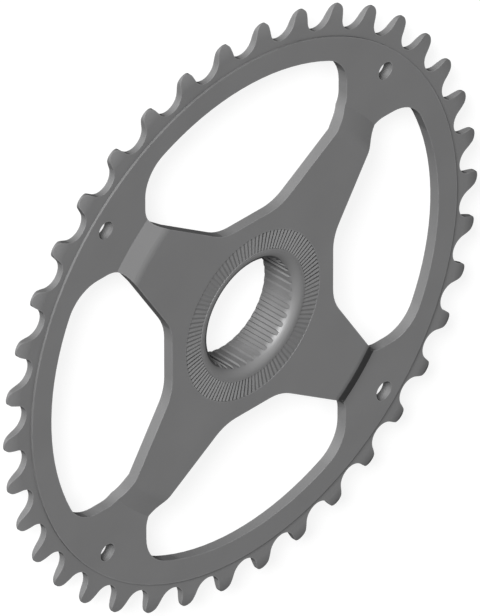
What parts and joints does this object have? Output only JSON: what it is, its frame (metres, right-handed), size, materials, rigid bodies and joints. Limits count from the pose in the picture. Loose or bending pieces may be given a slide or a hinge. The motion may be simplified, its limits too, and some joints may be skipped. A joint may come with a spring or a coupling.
{
  "type": "chainring",
  "caption": "Dished direct-mount chainring with wide windows, thinned teeth, a splined bore and a ring of radial serrations on the hub's face.",
  "frame": {"origin": "centre of the rear face of the hub's collar, on the wheel's axis, which is the surface that the part rests on", "axes": "+Z along the wheel's axis to the outer side, where the serrations are; +X through the middle of a tooth and of a window; +Y through a gap between two teeth and the middle of a spline groove"},
  "size_m": [0.1588, 0.1582, 0.0106],
  "materials": {
    "chainring": "satin, fine bead blast"
  },
  "bodies": {
    "root": {"chainring": "chainring"}
  },
  "joints": []
}
